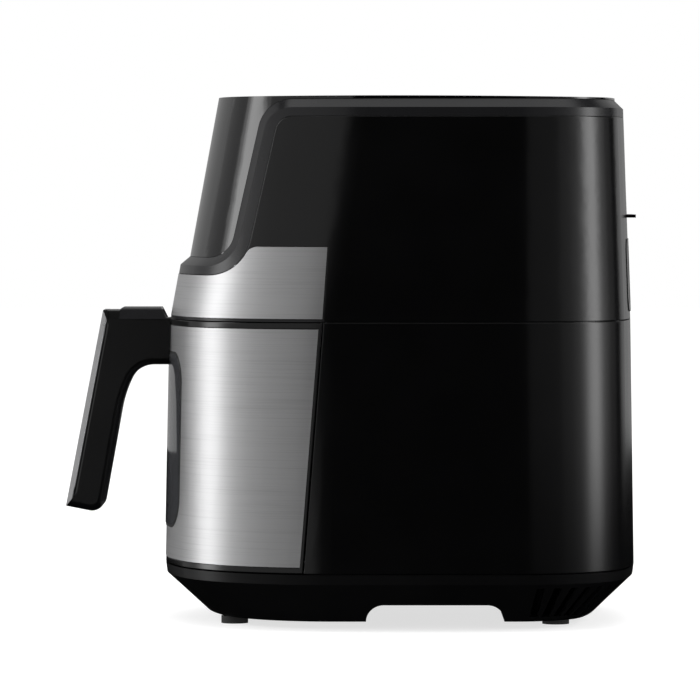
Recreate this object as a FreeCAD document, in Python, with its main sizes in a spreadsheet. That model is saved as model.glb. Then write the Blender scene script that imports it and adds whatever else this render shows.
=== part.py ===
import FreeCAD, Part
import math
import os

import Sketcher
from FreeCAD import Placement, Rotation, Vector

# Drawer air fryer, modelled as an assembly of separate pieces, in millimetres.
#
# +Z is up, the handle points along -Y and X is the width. The origin is the centre of the
# bounding box, on the surface that the fryer stands on.
#
# The outer shells, the cooking chamber and the pan share one kind of plan outline: a bowed
# nose, round front corners, straight sides, round rear corners and a bowed tail. The outline
# is given at a few levels and is ruled between them.

doc = FreeCAD.newDocument("air_fryer")
NODES = []

# ---------------------------------------------------------------- driving dimensions
OUTLINE_FIELDS = (
    "level", "half_width", "nose", "tail", "nose_radius", "front_corner", "rear_corner", "tail_radius",
)
OUTLINES = {
    "skirt": (4.6, 108.0, -90.0, 155.6, 172.0, 73.0, 45.0, 300.0),
    "chine": (29.6, 134.2, -117.4, 181.2, 200.0, 99.0, 70.0, 400.0),
    "sill": (36.0, 135.0, -118.2, 182.0, 200.0, 100.0, 70.0, 400.0),
    "waist": (192.0, 133.0, -115.0, 179.6, 200.0, 100.0, 70.0, 400.0),
    "crown": (330.6, 128.0, -89.6, 174.6, 200.0, 95.0, 65.0, 400.0),
    "pan": (182.0, 108.0, -98.0, 152.0, 2000.0, 75.0, 60.0, 400.0),
    "pan_floor": (44.0, 102.0, -96.0, 146.0, 2000.0, 70.0, 55.0, 400.0),
    "liner": (209.0, 116.0, -103.0, 160.0, 2000.0, 83.0, 68.0, 400.0),
}
SIZES = {
    "shell_wall": 2.6, "sheet_wall": 1.2, "seam_gap": 0.5, "steel_sheet": 0.9, "steel_proud": 0.25,
    # bezel: three parallel lines seen from the side, and the depth of the hood behind it
    "bezel_low": 220.6, "bezel_high": 319.65, "bezel_foot": -66.9, "bezel_lean": 0.227,
    "bezel_low_radius": 28.0, "bezel_high_radius": 10.5, "bezel_band": 5.4, "hood_inset": 5.2,
    "hood_crown": 3.0, "hood_crown_radius": 7000.0,
    # the sloping line where the drawer front meets the lower housing
    "split_at_waist": -16.7, "split_at_sill": -29.0, "split_gap": 0.9,
    # steel trim
    "band_low": 194.1, "band_high": 238.6, "band_fillet": 8.0, "panel_low": 40.3, "panel_high": 187.65,
    "panel_margin": 2.0,
    # window in the drawer front
    "window_half_width": 62.0, "window_low": 59.7, "window_high": 171.3, "window_radius": 20.0,
    "gasket_width": 1.6, "glass_thickness": 3.0, "glass_proud": 0.9, "port_margin": 14.0,
    # base
    "channel_front": 10.0, "channel_rear": 96.4, "channel_high": 15.9, "channel_radius": 11.0,
    "base_floor": 7.2, "skirt_edge_radius": 6.0, "vent_width": 5.0, "vent_low": 8.0, "vent_high": 27.0,
    "rib_thickness": 2.0, "rib_high": 33.0, "foot_radius": 8.5, "front_foot_x": 55.0,
    "front_foot_y": -73.0, "rear_foot_x": 62.0, "rear_foot_y": 130.0, "screw_radius": 2.0,
    "screw_head_radius": 3.6,
    # handle
    "handle_half_width": 17.5, "tip_high_y": -157.9, "tip_high_z": 197.2, "tip_low_y": -181.9,
    "tip_low_z": 71.6, "mitre_high_y": -155.6, "mitre_high_z": 190.9, "mitre_low_y": -177.2,
    "mitre_low_z": 77.5, "trim_gap": 0.1, "trim_edge": 0.7, "arm_low": 162.3, "arm_bend_y": -125.2,
    "arm_bend_radius": 16.5, "arm_bend_turn": 64.0, "grip_bend_radius": 75.0, "grip_turn": 79.8,
    "grip_foot_y": -158.4, "grip_foot_z": 67.0, "grip_foot_radius": 8.5, "grip_edge_radius": 4.5,
    "grip_front_radius": 1.8, "top_end_y": -121.4, "block_start_y": -118.3, "block_end_y": -100.0,
    "block_high": 192.1, "rail_edge_radius": 1.2,
    # button, its cover, its spring and the latch
    "guard_travel": 6.8, "guard_high": 198.9, "guard_low": 191.5, "guard_wall": 1.3, "guard_gap": 0.4,
    "guard_front_low_y": -147.7, "guard_front_high_y": -146.8, "guard_rear_high_y": -120.8,
    "guard_rear_low_y": -117.1, "guard_edge_radius": 2.4, "button_y": -125.2, "button_width": 14.0,
    "button_length": 5.0, "button_high": 197.0, "button_head": 3.0, "button_stem_radius": 1.5,
    "stem_gap": 2.0, "latch_pin_y": -148.0, "latch_pin_z": 181.6, "latch_pin_radius": 1.5,
    "latch_half_width": 4.0, "spring_radius": 2.1, "spring_wire": 0.6, "spring_turns": 4.0,
    # pan and crisper
    "pan_wall": 1.5, "rim_width": 4.0, "rail_high": 180.1, "rail_height": 3.5, "crisper_low": 54.0,
    "crisper_thickness": 2.0, "crisper_rim": 6.0, "crisper_gap": 3.4, "crisper_hole_radius": 3.5,
    "crisper_hole_pitch": 17.0, "bumper_radius": 5.0,
    # hot-air section
    "axis_y": 27.0, "ceiling_low": 192.8, "ceiling_high": 208.0, "dish_radius": 96.0,
    "dish_high": 247.0, "element_high": 219.0, "element_outer": 80.0, "element_inner": 60.0,
    "element_radius": 3.3, "element_end_radius": 2.5, "guard_ring_radius": 94.0, "guard_level": 205.7,
    "wire_radius": 1.0, "fan_radius": 62.0, "fan_low": 228.0, "fan_height": 11.0, "shaft_radius": 4.0,
    "shaft_low": 224.0, "shaft_high": 308.0, "shaft_clearance": 0.05, "shield_level": 250.0,
    "shield_radius": 100.0, "cooling_fan_radius": 42.0, "cooling_fan_low": 254.0,
    "cooling_fan_height": 9.0, "motor_radius": 34.0, "motor_low": 271.0, "motor_high": 300.0,
    "bearing_radius": 11.0, "bearing_height": 4.0,
    # rear
    "outlet_half_width": 52.0, "outlet_low": 197.0, "outlet_high": 243.0, "outlet_proud": 0.5,
    "spacer_level": 257.3, "spacer_half_width": 30.0, "spacer_reach": 182.0, "spacer_thickness": 2.0,
    "gland_x": -62.0, "gland_z": 62.0, "gland_radius": 8.0, "gland_hole": 3.7, "base_screw_x": 70.0,
    "base_screw_front": -30.0, "base_screw_rear": 118.0, "screw_head_height": 1.4, "boss_radius": 5.0,
    "boss_high": 30.0, "foot_peg_radius": 3.0, "vent_count": 6.0, "vent_first_angle": 11.0,
    "vent_step_angle": 10.0, "band_rear_low": -17.1, "band_rear_high": -14.0, "trim_depth": 2.0,
    "bezel_depth": 8.0, "bezel_bevel": 5.2, "duct_half_width": 44.0, "duct_low": 202.0,
    "duct_high": 238.0, "louvre_count": 11.0, "louvre_width": 4.4, "gland_y": 170.0,
    "gland_length": 10.4, "liner_low": 37.4, "liner_open_y": -18.0, "liner_open_high": 200.0,
    "shaft_hole": 6.0, "terminal_x": 12.0, "terminal_proud": 9.0, "rail_width": 5.0,
    "rail_length": 110.0, "rail_front": -20.0, "guard_bars": 3.0, "guard_reach": 98.0,
    "fan_hub_radius": 9.0, "blade_thickness": 1.4, "rotor_radius": 12.4, "standoff_reach": 62.0,
    "standoff_radius": 3.0, "bracket_half_width": 48.0, "bracket_depth": 30.0, "bracket_sheet": 1.6,
    "board_half_width": 58.0, "board_y": 150.0, "board_low": 256.0, "board_thickness": 1.6,
    "board_height": 56.0, "panel_board_half_width": 52.0, "panel_board_height": 68.0,
    "panel_board_y": -86.5, "panel_board_low": 241.0, "panel_board_lean": 10.5, "cutout_x": 80.0,
    "cutout_y": -60.0, "switch_y": -12.0, "switch_low": 140.0, "magnet_x": 121.0, "lip_depth": 8.0,
    "slot_low": 170.0, "slot_high": 187.4, "frame_width": 9.0, "frame_notch": 169.0,
    "catch_half_width": 9.0, "catch_low": 184.6, "catch_high": 188.6, "catch_front": -111.4,
    "catch_rear": -99.0, "tooth_rear": -107.4, "tooth_high": 186.4, "handle_screw_x": 13.5,
    "handle_screw_z": 184.2, "handle_screw_start": -111.8, "handle_screw_length": 18.0,
    "pin_half_length": 8.0, "lever_room_high": 185.2, "shelf_high": 187.0, "lap_wall": 1.4,
    "lap_gap": 0.3, "lap_step": 0.5, "lap_depth": 4.0, "lap_rise": 4.0,
}

sheet = doc.addObject("Spreadsheet::Sheet", "sizes")
for place, figures in OUTLINES.items():
    SIZES.update({f"{place}_{field}": figure for field, figure in zip(OUTLINE_FIELDS, figures)})
for row, (alias, figure) in enumerate(SIZES.items(), 1):
    sheet.set(f"A{row}", alias)
    sheet.set(f"B{row}", str(figure))
    sheet.setAlias(f"B{row}", alias)
doc.recompute()


def size(alias):
    """A driving dimension, read from the sheet."""
    return float(sheet.get(alias))


# ---------------------------------------------------------------- plan outlines and lofts
def outline_at(z):
    """The outline's figures at height z on the outer body, in the order of OUTLINE_FIELDS."""
    places = ("skirt", "chine", "sill", "waist", "crown")
    levels = [[size(f"{place}_{field}") for field in OUTLINE_FIELDS] for place in places]
    pairs = list(zip(levels, levels[1:]))
    below, above = next((pair for pair in pairs if z <= pair[1][0]), pairs[-1])
    share = (z - below[0]) / (above[0] - below[0])
    return [b + share * (a - b) for b, a in zip(below, above)]


def named_outline(place, z):
    """The figures of a named outline, moved to height z."""
    return [z] + [size(f"{place}_{f}") for f in OUTLINE_FIELDS[1:]]


def corner(centre, radius, direction):
    length = math.hypot(*direction)
    return (centre[0] + radius * direction[0] / length, centre[1] + radius * direction[1] / length)


def outline_points(figures, inset=0.0):
    """Corner centres and tangent points of the right half of an outline, moved in by inset."""
    z, half, nose, tail, nose_r, front_r, rear_r, tail_r = figures
    half, nose, tail = half - inset, nose + inset, tail - inset
    nose_r, front_r, rear_r, tail_r = (r - inset for r in (nose_r, front_r, rear_r, tail_r))
    nose_c, tail_c = (0.0, nose + nose_r), (0.0, tail - tail_r)
    fx, rx = half - front_r, half - rear_r
    front_c = (fx, nose_c[1] - math.sqrt((nose_r - front_r) ** 2 - fx**2))
    rear_c = (rx, tail_c[1] + math.sqrt((tail_r - rear_r) ** 2 - rx**2))
    nose_t = corner(nose_c, nose_r, (front_c[0], front_c[1] - nose_c[1]))
    tail_t = corner(tail_c, tail_r, (rear_c[0], rear_c[1] - tail_c[1]))
    return {
        "z": z, "nose": (0.0, nose), "nose_t": nose_t, "front_c": front_c, "front_r": front_r,
        "side_front": (half, front_c[1]), "side_rear": (half, rear_c[1]), "rear_c": rear_c,
        "rear_r": rear_r, "tail_t": tail_t, "tail": (0.0, tail),
    }


def middle_of_arc(centre, radius, start, end):
    """The point half way round an arc."""
    way = [((s - c) + (e - c)) for s, e, c in zip(start, end, centre)]
    return corner(centre, radius, way)


def outline_wire(figures, inset=0.0):
    """A closed wire of eight tangent edges."""
    p = outline_points(figures, inset)
    front_m = middle_of_arc(p["front_c"], p["front_r"], p["nose_t"], p["side_front"])
    rear_m = middle_of_arc(p["rear_c"], p["rear_r"], p["side_rear"], p["tail_t"])

    def right(point):
        return Vector(point[0], point[1], p["z"])

    def left(point):
        return Vector(-point[0], point[1], p["z"])

    def arc(*points):
        return Part.Arc(*points).toShape()

    return Part.Wire([
        arc(left(p["nose_t"]), right(p["nose"]), right(p["nose_t"])),
        arc(right(p["nose_t"]), right(front_m), right(p["side_front"])),
        Part.makeLine(right(p["side_front"]), right(p["side_rear"])),
        arc(right(p["side_rear"]), right(rear_m), right(p["tail_t"])),
        arc(right(p["tail_t"]), right(p["tail"]), left(p["tail_t"])),
        arc(left(p["tail_t"]), left(rear_m), left(p["side_rear"])),
        Part.makeLine(left(p["side_rear"]), left(p["side_front"])),
        arc(left(p["side_front"]), left(front_m), left(p["nose_t"])),
    ])


def body(low, high, inset=0.0):
    """The outer body between two heights, moved in by inset, as a solid."""
    bends = [size(f"{p}_level") for p in ("chine", "sill", "waist")]
    levels = [low] + [z for z in bends if low + 0.1 < z < high - 0.1] + [high]
    return Part.makeLoft([outline_wire(outline_at(z), inset) for z in levels], True, True)


def body_shell(low, high, outer, inner):
    """The layer of the outer body between two insets."""
    return body(low, high, outer).cut(body(low - 1, high + 1, inner))


def can(place, low, high, inset=0.0):
    """A straight-sided solid on a named outline."""
    ends = [outline_wire(named_outline(place, z), inset) for z in (low, high)]
    return Part.makeLoft(ends, True, True)


def box(x0, x1, y0, y1, z0, z1):
    return Part.makeBox(x1 - x0, y1 - y0, z1 - z0, Vector(x0, y0, z0))


def disc(radius, low, high, y=None, x=0.0):
    y = size("axis_y") if y is None else y
    return Part.makeCylinder(radius, high - low, Vector(x, y, low))


def prism_x(edges, half_width=160.0):
    """The face inside edges in the YZ plane, made a solid across the whole width."""
    face = Part.Face(Part.Wire(edges))
    face.translate(Vector(-half_width, 0, 0))
    return face.extrude(Vector(2 * half_width, 0, 0))


def polygon_x(points, half_width=160.0):
    corners = [Vector(0, y, z) for y, z in points]
    edges = [Part.makeLine(a, b) for a, b in zip(corners, corners[1:] + corners[:1])]
    return prism_x(edges, half_width)


def round_box_y(half_width, low, high, radius, front, rear):
    """A block along Y with a rounded rectangle as its section."""
    block = box(-half_width, half_width, front, rear, low, high)
    return block.makeFillet(radius, [e for e in block.Edges if abs(e.tangentAt(e.FirstParameter).y) > 0.99])


# ---------------------------------------------------------------- cutting regions
def above_bezel(offset=0.0):
    """The region above and in front of the bezel line, or of a line parallel to it."""
    low, high = size("bezel_low") + offset, size("bezel_high") + offset
    lean = size("bezel_lean")
    shift = offset * math.hypot(1, lean)
    foot = size("bezel_foot") - shift + (low - size("bezel_low")) * lean
    head = foot + (high - low) * lean
    front, rear, top = -260.0, 260.0, 400.0
    low_radius = size("bezel_low_radius") - offset
    high_radius = size("bezel_high_radius") + offset
    angle = math.atan2(1, lean)

    def rounded(point, radius, turn_sign):
        reach = radius * math.tan(angle / 2)
        flat_way = -1 if turn_sign < 0 else 1
        flat = (point[0] + flat_way * reach, point[1])
        slope = (point[0] - flat_way * reach * math.cos(angle), point[1] - flat_way * reach * math.sin(angle))
        centre = (flat[0], flat[1] - flat_way * radius)
        away = [point[0] - centre[0], point[1] - centre[1]]
        return flat, corner(centre, radius, away), slope

    low_flat, low_mid, low_slope = rounded((foot, low), low_radius, -1)
    high_flat, high_mid, high_slope = rounded((head, high), high_radius, 1)
    at = [Vector(0, y, z) for y, z in (low_flat, low_mid, low_slope, high_slope, high_mid, high_flat)]
    corners = [Vector(0, rear, high), Vector(0, rear, top), Vector(0, front, top), Vector(0, front, low)]
    edges = [
        Part.makeLine(corners[3], at[0]), Part.Arc(at[0], at[1], at[2]).toShape(),
        Part.makeLine(at[2], at[3]), Part.Arc(at[3], at[4], at[5]).toShape(),
        Part.makeLine(at[5], corners[0]), Part.makeLine(corners[0], corners[1]),
        Part.makeLine(corners[1], corners[2]), Part.makeLine(corners[2], corners[3]),
    ]
    return prism_x(edges)


def split_y(z):
    """Where the sloping split line lies at height z."""
    waist, sill = size("waist_level"), size("sill_level")
    share = (z - sill) / (waist - sill)
    return size("split_at_sill") + share * (size("split_at_waist") - size("split_at_sill"))


def in_front_of_split(low, high, back=0.0):
    """The region in front of the split line, moved forward by back."""
    return polygon_x([(-260, low), (split_y(low) - back, low), (split_y(high) - back, high), (-260, high)])


def behind_split(low, high, back=0.0):
    return polygon_x([(split_y(low) + back, low), (260, low), (260, high), (split_y(high) + back, high)])


# ---------------------------------------------------------------- document helpers
def keep(obj, label):
    """Marks an object as one sub-part of the assembly."""
    obj.Label = label
    NODES.append(obj)
    return obj


def feature(label, shape):
    """A sub-part whose shape is worked out here from the sheet."""
    solids = shape.Solids
    shape = solids[0] if len(solids) == 1 else Part.makeCompound(solids)
    obj = doc.addObject("Part::Feature", label)
    obj.Shape = shape
    return keep(obj, label)


def new_body(label):
    piece = doc.addObject("PartDesign::Body", label)
    return keep(piece, label)


def sketch(piece, role, name, offset=None):
    made = piece.newObject("Sketcher::SketchObject", name)
    plane = next(f for f in piece.Origin.OriginFeatures if f.Role == role)
    made.AttachmentSupport = (plane, [""])
    made.MapMode = "FlatFace"
    if offset:
        made.setExpression(".AttachmentOffset.Base.z", offset)
    return made


def cylinder(name, radius, height, at, axis=(0, 0, 1)):
    """A Part cylinder whose sizes follow cells."""
    made = doc.addObject("Part::Cylinder", name)
    made.setExpression("Radius", radius)
    made.setExpression("Height", height)
    made.Placement = Placement(Vector(*at), Rotation(Vector(0, 0, 1), Vector(*axis)))
    return made


def block(name, length, width, height, at):
    """A Part box whose sizes follow cells, with its low corner at a point."""
    made = doc.addObject("Part::Box", name)
    for field, expression in (("Length", length), ("Width", width), ("Height", height)):
        made.setExpression(field, expression)
    made.Placement = Placement(Vector(*at), Rotation())
    return made


def fuse(name, shapes):
    made = doc.addObject("Part::MultiFuse", name)
    made.Shapes = shapes
    return made


def bind(made, constraint, expression):
    """Adds a sized constraint to a sketch and ties it to a cell."""
    index = made.addConstraint(constraint)
    made.setExpression(f"Constraints[{index}]", expression)


def circle(made, expression):
    """A circle round the sketch's origin."""
    index = made.addGeometry(Part.Circle(Vector(0, 0, 0), Vector(0, 0, 1), 5.0))
    made.addConstraint(Sketcher.Constraint("Coincident", index, 3, -1, 1))
    bind(made, Sketcher.Constraint("Radius", index, 5.0), expression)


def rectangle(made, width, height):
    """A rectangle centred on the sketch's origin."""
    corners = [Vector(5 * a, 5 * b, 0) for a, b in ((-1, -1), (1, -1), (1, 1), (-1, 1))]
    lines = [made.addGeometry(Part.LineSegment(a, b)) for a, b in zip(corners, corners[1:] + corners[:1])]
    for here, there in zip(lines, lines[1:] + lines[:1]):
        made.addConstraint(Sketcher.Constraint("Coincident", here, 2, there, 1))
    for line, kind in zip(lines, ("Horizontal", "Vertical", "Horizontal", "Vertical")):
        made.addConstraint(Sketcher.Constraint(kind, line))
    made.addConstraint(Sketcher.Constraint("Symmetric", lines[0], 1, lines[2], 1, -1, 1))
    bind(made, Sketcher.Constraint("DistanceX", lines[0], 1, lines[0], 2, 10.0), width)
    bind(made, Sketcher.Constraint("DistanceY", lines[1], 1, lines[1], 2, 10.0), height)


def pad(piece, profile, length, name):
    made = piece.newObject("PartDesign::Pad", name)
    made.Profile = profile
    made.setExpression("Length", length)
    return made


def annulus_pad(piece, number, outer, inner, low, height):
    """A round step of a body: outer radius, bore (or None), its foot and its height."""
    made = sketch(piece, "XY_Plane", f"Profile{number}", low)
    circle(made, outer)
    if inner:
        circle(made, inner)
    return pad(piece, made, height, f"Step{number}")


def turned(label, steps, at=(0, 0, 0), axis=(0, 0, 1)):
    """A round piece built from steps of (outer radius, bore, foot, height)."""
    piece = new_body(label)
    for number, (outer, inner, low, height) in enumerate(steps, 1):
        annulus_pad(piece, number, outer, inner, low, height)
    piece.Placement = Placement(Vector(*at), Rotation(Vector(0, 0, 1), Vector(*axis)))
    return piece


def fan_centre():
    return (0, size("axis_y"), 0)


# ---------------------------------------------------------------- base
def channel_block(grow=0.0):
    """The channel that runs under the base from side to side."""
    front, rear = size("channel_front") - grow, size("channel_rear") + grow
    high = size("channel_high") + grow
    block_shape = box(-160, 160, front, rear, -5, high)
    across = [e for e in block_shape.Edges if abs(e.tangentAt(e.FirstParameter).x) > 0.99]
    top = [e for e in across if e.BoundBox.ZMin > 0]
    return block_shape.makeFillet(size("channel_radius"), top)


def vent_slots():
    """Slots round each rear corner of the skirt, in planes through the corner's axis."""
    points = outline_points(outline_at(size("sill_level")))
    centre_x, centre_y = points["rear_c"]
    width, low, high = size("vent_width"), size("vent_low"), size("vent_high")
    slots = []
    for side in (-1, 1):
        for number in range(int(size("vent_count"))):
            angle = size("vent_first_angle") + number * size("vent_step_angle")
            slot = box(20, 90, -width / 2, width / 2, low, high)
            slot.rotate(Vector(0, 0, 0), Vector(0, 0, 1), angle if side > 0 else 180 - angle)
            slot.translate(Vector(side * centre_x, centre_y, 0))
            slots.append(slot)
    return slots


def screw_places():
    x = size("base_screw_x")
    return [(side * x, y) for side in (-1, 1) for y in (size("base_screw_front"), size("base_screw_rear"))]


def foot_places():
    front = [(side * size("front_foot_x"), size("front_foot_y")) for side in (-1, 1)]
    return front + [(side * size("rear_foot_x"), size("rear_foot_y")) for side in (-1, 1)]


def seam_lap(seam):
    """The step inside a wall's upper edge that laps behind the next wall up."""
    wall, step = size("shell_wall"), size("lap_step")
    outer = wall + size("lap_gap")
    inner = outer + size("lap_wall")
    low, high = seam - size("lap_depth"), seam + size("lap_rise")
    rear = behind_split(low - 5, high + 5, 2.0)
    root = body_shell(low, seam - step, wall / 2, inner + step).common(rear)
    tongue = body_shell(seam - 3 * step, high, outer, inner).common(rear)
    return root.fuse(tongue)


def make_base_tray():
    wall = size("shell_wall")
    top = size("sill_level") - size("seam_gap") / 2
    low, floor = size("skirt_level"), size("base_floor")
    tray = body(low, top)
    bottom_edges = [e for e in tray.Edges if e.BoundBox.ZMax < low + 0.1]
    tray = tray.makeFillet(size("skirt_edge_radius"), bottom_edges)
    hollow = body(floor, top + 5, wall).cut(channel_block(wall))
    tray = tray.cut(hollow).cut(channel_block())
    half_rib, rib_high = size("rib_thickness") / 2, size("rib_high")
    rib = box(-half_rib, half_rib, size("channel_rear") + 1, 200, floor - 0.5, rib_high)
    tray = tray.fuse([rib.common(body(floor - 1, rib_high, wall / 2)), seam_lap(top)])
    head = floor + size("screw_head_height")
    bosses = [disc(size("boss_radius"), floor - 0.5, size("boss_high"), y, x) for x, y in screw_places()]
    holes = [disc(size("screw_radius"), low, size("boss_high") + 1, y, x) for x, y in screw_places()]
    holes += [disc(size("screw_head_radius"), low - 1, head, y, x) for x, y in screw_places()]
    holes += [disc(size("foot_peg_radius"), low - 1, floor + 1, y, x) for x, y in foot_places()]
    feature("base_tray", tray.fuse(bosses).cut(holes + vent_slots()).removeSplitter())


def make_feet():
    feet = []
    for number, (x, y) in enumerate(foot_places(), 1):
        pad_part = cylinder(f"FootPad{number}", "sizes.foot_radius", "sizes.skirt_level", (x, y, 0))
        peg = cylinder(f"FootPeg{number}", "sizes.foot_peg_radius", "sizes.base_floor", (x, y, 0))
        feet.append(fuse(f"Foot{number}", [pad_part, peg]))
    keep(compound("Feet", feet), "rubber_feet")


def make_base_screws():
    screws = []
    for number, (x, y) in enumerate(screw_places(), 1):
        low = size("base_floor")
        tall = "sizes.boss_high - sizes.base_floor"
        head_sizes = ("sizes.screw_head_radius", "sizes.screw_head_height")
        head = cylinder(f"ScrewHead{number}", *head_sizes, (x, y, low))
        shank = cylinder(f"ScrewShank{number}", "sizes.screw_radius", tall, (x, y, low))
        screws.append(fuse(f"BaseScrew{number}", [head, shank]))
    keep(compound("BaseScrews", screws), "base_screws")


def compound(name, shapes):
    made = doc.addObject("Part::Compound", name)
    made.Links = shapes
    return made


# ---------------------------------------------------------------- housing shells
def make_lower_shell():
    low = size("sill_level") + size("seam_gap") / 2
    high = size("waist_level") - size("seam_gap") / 2
    wall = body_shell(low, high, 0, size("shell_wall"))
    shell = wall.common(behind_split(low - 5, high + 5, size("split_gap") / 2)).fuse(seam_lap(high))
    x, z, radius = size("gland_x"), size("gland_z"), size("gland_radius")
    hole = Part.makeCylinder(radius, 60, Vector(x, 140, z), Vector(0, 1, 0))
    feature("lower_shell", shell.cut(hole).removeSplitter())


def band_region(side_gap=0.0, edge_gap=0.0):
    """The region of the upper steel band, seen from the side, grown by a gap at its edges."""
    low, high = size("band_low") - edge_gap, size("band_high") + edge_gap
    rear_low, rear_high = size("band_rear_low") + side_gap, size("band_rear_high") + side_gap
    corners = [(-200, low), (rear_low, low), (rear_high, high), (-200, high)]
    region = polygon_x(corners).cut(above_bezel(-0.3 + edge_gap))
    meeting = [
        e for e in region.Edges
        if e.BoundBox.YLength < 0.1 and e.BoundBox.ZLength < 0.1 and e.BoundBox.ZMin > high - 1
    ]
    return region.makeFillet(size("band_fillet"), [e for e in meeting if e.BoundBox.YMin < -30])


def make_upper_shell():
    low = size("waist_level") + size("seam_gap") / 2
    wall = size("shell_wall")
    shell = body_shell(low, size("crown_level"), 0, wall).cut(above_bezel())
    recess = size("steel_sheet") - size("steel_proud")
    shell = shell.cut(body_shell(low - 5, 250, -1, recess).common(band_region(0.4, 0.2)))
    strip = in_front_of_split(low - 5, size("band_low") - 0.2)
    shell = shell.cut(body_shell(low - 5, size("band_low") - 0.2, -1, size("trim_depth")).common(strip))
    half, duct_low, duct_high = size("duct_half_width"), size("duct_low"), size("duct_high")
    feature("upper_shell", shell.cut(box(-half, half, 150, 200, duct_low, duct_high)))


def make_bezel_frame():
    """The hood: a band that follows the bezel line, with its inner edge bevelled."""
    band, depth = size("bezel_band"), size("bezel_depth")
    ring = body_shell(size("bezel_low") - 3, size("crown_level"), 0, depth)
    ring = ring.common(above_bezel(0.25)).cut(above_bezel(2 * band))
    inside = body(size("bezel_low") - 5, size("crown_level") + 5, 0.05)
    beyond = above_bezel(2 * band - 0.05)
    rim = []
    for edge in ring.Edges:
        middle = edge.valueAt((edge.FirstParameter + edge.LastParameter) / 2)
        if beyond.isInside(middle, 0.001, True) and not inside.isInside(middle, 0.001, True):
            rim.append(edge)
    feature("bezel_frame", ring.makeChamfer(size("bezel_bevel"), rim))


def crown_surface(drop=0.0):
    """The region under the slightly crowned top."""
    radius = size("hood_crown_radius")
    top = size("crown_level") + size("hood_crown") - drop
    return Part.makeSphere(radius, Vector(0, size("axis_y"), top - radius))


def make_control_panel():
    """Glossy panel and top cover in one moulding."""
    inset, wall = size("hood_inset"), size("shell_wall")
    low, high = size("bezel_low") + size("bezel_band"), size("crown_level") + 2 * size("hood_crown")
    block_shape = body(low, high, inset).common(above_bezel(2 * size("bezel_band") + 0.25))
    cavity = body(low - 5, high, inset + wall).common(crown_surface(wall))
    feature("control_panel", block_shape.common(crown_surface()).cut(cavity))


def make_upper_band():
    proud = size("steel_proud")
    skin = body_shell(size("band_low") - 5, 250, -proud, size("steel_sheet") - proud)
    feature("upper_steel_band", skin.common(band_region()))


def make_seam_trim():
    """Dark strip under the band, with two fine ridges."""
    low = size("waist_level") + size("seam_gap") / 2
    high = size("band_low") - 0.2
    strip = body_shell(low, high, -0.1, size("trim_depth"))
    groove = body_shell((low + high) / 2 - 0.25, (low + high) / 2 + 0.25, -1, 0.4)
    feature("seam_trim", strip.cut(groove).common(in_front_of_split(low - 5, high + 5, 0.3)))


def make_rear_outlet():
    low, high, half = size("outlet_low"), size("outlet_high"), size("outlet_half_width")
    window = round_box_y(half, low, high, 9.0, 140, 200)
    plate = body_shell(low, high, -size("outlet_proud"), 0.0).common(window)
    pitch = 2 * size("duct_half_width") / size("louvre_count")
    slots = []
    for number in range(int(size("louvre_count"))):
        x = -size("duct_half_width") + (number + 0.5) * pitch
        width = size("louvre_width")
        slots.append(box(x - width / 2, x + width / 2, 150, 200, size("duct_low"), size("duct_high")))
    feature("rear_outlet", plate.cut(slots))


def make_rear_spacer():
    level, half = size("spacer_level"), size("spacer_half_width")
    thick = size("spacer_thickness")
    fin = box(-half, half, 150, size("spacer_reach"), level - thick / 2, level + thick / 2)
    fin = fin.cut(body(level - 10, level + 10, 0.0))
    feature("rear_spacer", fin)


def make_cord_gland():
    at = (size("gland_x"), size("gland_y"), size("gland_z"))
    steps = [
        ("sizes.gland_radius", "sizes.gland_hole", "0", "sizes.gland_length"),
        ("sizes.gland_radius + 2", "sizes.gland_hole", "0", "2"),
    ]
    turned("cord_gland", steps, at, (0, 1, 0))


# ---------------------------------------------------------------- cooking chamber
def make_chamber_liner():
    sheet_wall = size("sheet_wall")
    low, high = size("liner_low"), size("ceiling_low")
    liner = can("liner", low, high).cut(can("liner", low + sheet_wall, high + 5, sheet_wall))
    liner = liner.cut(box(-150, 150, -150, size("liner_open_y"), low - 5, size("liner_open_high")))
    feature("chamber_liner", liner)


def make_chamber_ceiling():
    sheet_wall, radius = size("sheet_wall"), size("dish_radius")
    low, high, top = size("ceiling_low"), size("ceiling_high"), size("dish_high")
    plate = can("liner", low, high).cut(can("liner", low - 5, high - sheet_wall, sheet_wall))
    dish = disc(radius + sheet_wall, high - sheet_wall, top)
    hollow = disc(radius, low - 5, top - sheet_wall)
    holes = [disc(size("shaft_hole"), top - 5, top + 5)] + terminals(0.6)
    feature("chamber_ceiling", plate.fuse(dish).cut([hollow] + holes).removeSplitter())


def make_rails():
    top, tall = size("rail_high"), size("rail_height")
    wall_x = size("liner_half_width") - size("sheet_wall")
    rails = []
    for number, side in enumerate((-1, 1), 1):
        x = side * wall_x if side < 0 else wall_x - size("rail_width")
        at = (x, size("rail_front"), top - tall)
        rail_sizes = ("sizes.rail_width", "sizes.rail_length", "sizes.rail_height")
        rails.append(block(f"Rail{number}", *rail_sizes, at))
    keep(compound("Rails", rails), "drawer_rails")


# ---------------------------------------------------------------- hot-air section
def torus(name, ring_radius, tube_radius, level):
    made = doc.addObject("Part::Torus", name)
    made.setExpression("Radius1", ring_radius)
    made.setExpression("Radius2", tube_radius)
    made.Placement = Placement(Vector(0, size("axis_y"), level), Rotation())
    return made


def terminals(gap=0.0):
    """The two ends of the element, which come up through the dish."""
    radius = size("element_end_radius") + gap
    high = size("dish_high") + size("terminal_proud")
    y = size("axis_y") - size("element_outer")
    return [disc(radius, size("element_high"), high, y, side * size("terminal_x")) for side in (-1, 1)]


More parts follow.
